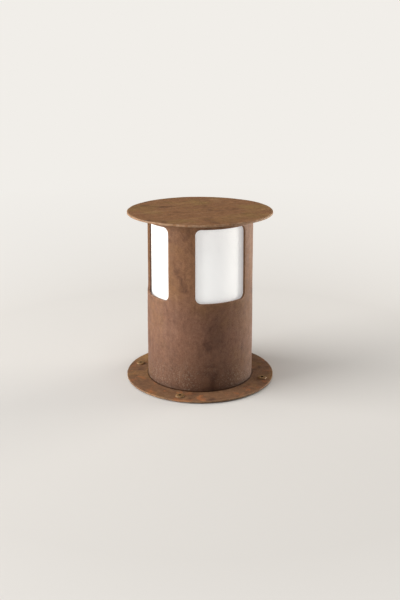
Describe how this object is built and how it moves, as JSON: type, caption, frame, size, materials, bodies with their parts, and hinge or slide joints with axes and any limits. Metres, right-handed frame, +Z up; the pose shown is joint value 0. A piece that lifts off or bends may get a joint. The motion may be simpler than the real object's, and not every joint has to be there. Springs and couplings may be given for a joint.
{
  "type": "garden lantern",
  "caption": "Low round bollard lantern: flanged steel tube with wide windows under an overhanging disc lid, around an opal diffuser.",
  "frame": {"origin": "on the ground at the centre of the mounting plate's underside", "axes": "+Z up along the tube's axis; -Y out of one window, and a window faces each of +X, -X, +Y and -Y"},
  "size_m": [0.205, 0.205, 0.235],
  "materials": {
    "weathering_steel": "matt rust-brown patina, mottled from dark brown to ochre",
    "weathered_screw": "ochre-brown tarnished steel",
    "weld_steel": "dark rusted weld bead",
    "zinc_steel": "bright zinc-plated sheet",
    "steel_fastener": "bright zinc-plated screw",
    "opal": "opal white, satin, lets light through",
    "collar_plastic": "light grey moulded",
    "lock_aluminium": "die-cast, blasted",
    "black_rubber": "matt",
    "silicone": "soft grey",
    "box_plastic": "dark grey moulded",
    "gland_plastic": "black polyamide",
    "block_plastic": "natural polyamide",
    "porcelain": "white glazed porcelain",
    "brass": "bright",
    "lamp_shell": "nickel-bright rolled thread",
    "lamp_insulation": "black glass",
    "lamp_white": "white moulded",
    "lamp_frost": "frosted white dome"
  },
  "bodies": {
    "base": {"mounting_plate": "zinc_steel", "entry_grommet": "black_rubber", "earth_terminal": "brass", "pillars": "steel_fastener", "pillar_screws": "steel_fastener", "terminal_box": "box_plastic", "terminal_box_lid": "box_plastic", "box_lid_screws": "steel_fastener", "terminal_block": "block_plastic", "cable_gland": "gland_plastic", "gland_cap": "gland_plastic", "lamp_tray": "zinc_steel", "tray_screws": "steel_fastener", "tray_grommet": "black_rubber", "lock_ring": "lock_aluminium", "diffuser_seal": "silicone", "lampholder": "porcelain", "holder_screws": "steel_fastener", "holder_contact": "brass"},
    "cover": {"base_flange": "weathering_steel", "housing_tube": "weathering_steel", "base_weld": "weld_steel", "lid_plate": "weathering_steel", "lid_brackets": "zinc_steel", "lid_studs": "steel_fastener", "lid_washers": "steel_fastener", "lid_nuts": "steel_fastener", "flange_screws": "weathered_screw"},
    "diffuser": {"opal_diffuser": "opal", "diffuser_collar": "collar_plastic"},
    "lamp": {"lamp_cap": "lamp_shell", "lamp_insulator": "lamp_insulation", "lamp_tip": "brass", "lamp_body": "lamp_white", "lamp_globe": "lamp_frost"}
  },
  "joints": [
    {"name": "cover_lift", "type": "slide", "parent": "base", "child": "cover", "axis": [0, 0, 1], "range_m": [0, 0.24]},
    {"name": "diffuser_twist", "type": "hinge", "parent": "base", "child": "diffuser", "pos_m": [0, 0, 0.1], "axis": [0, 0, 1], "range_deg": [0, 20]},
    {"name": "lamp_unscrew", "type": "hinge", "parent": "base", "child": "lamp", "pos_m": [0, 0, 0.1], "axis": [0, 0, 1], "range_deg": [0, 900]}
  ]
}
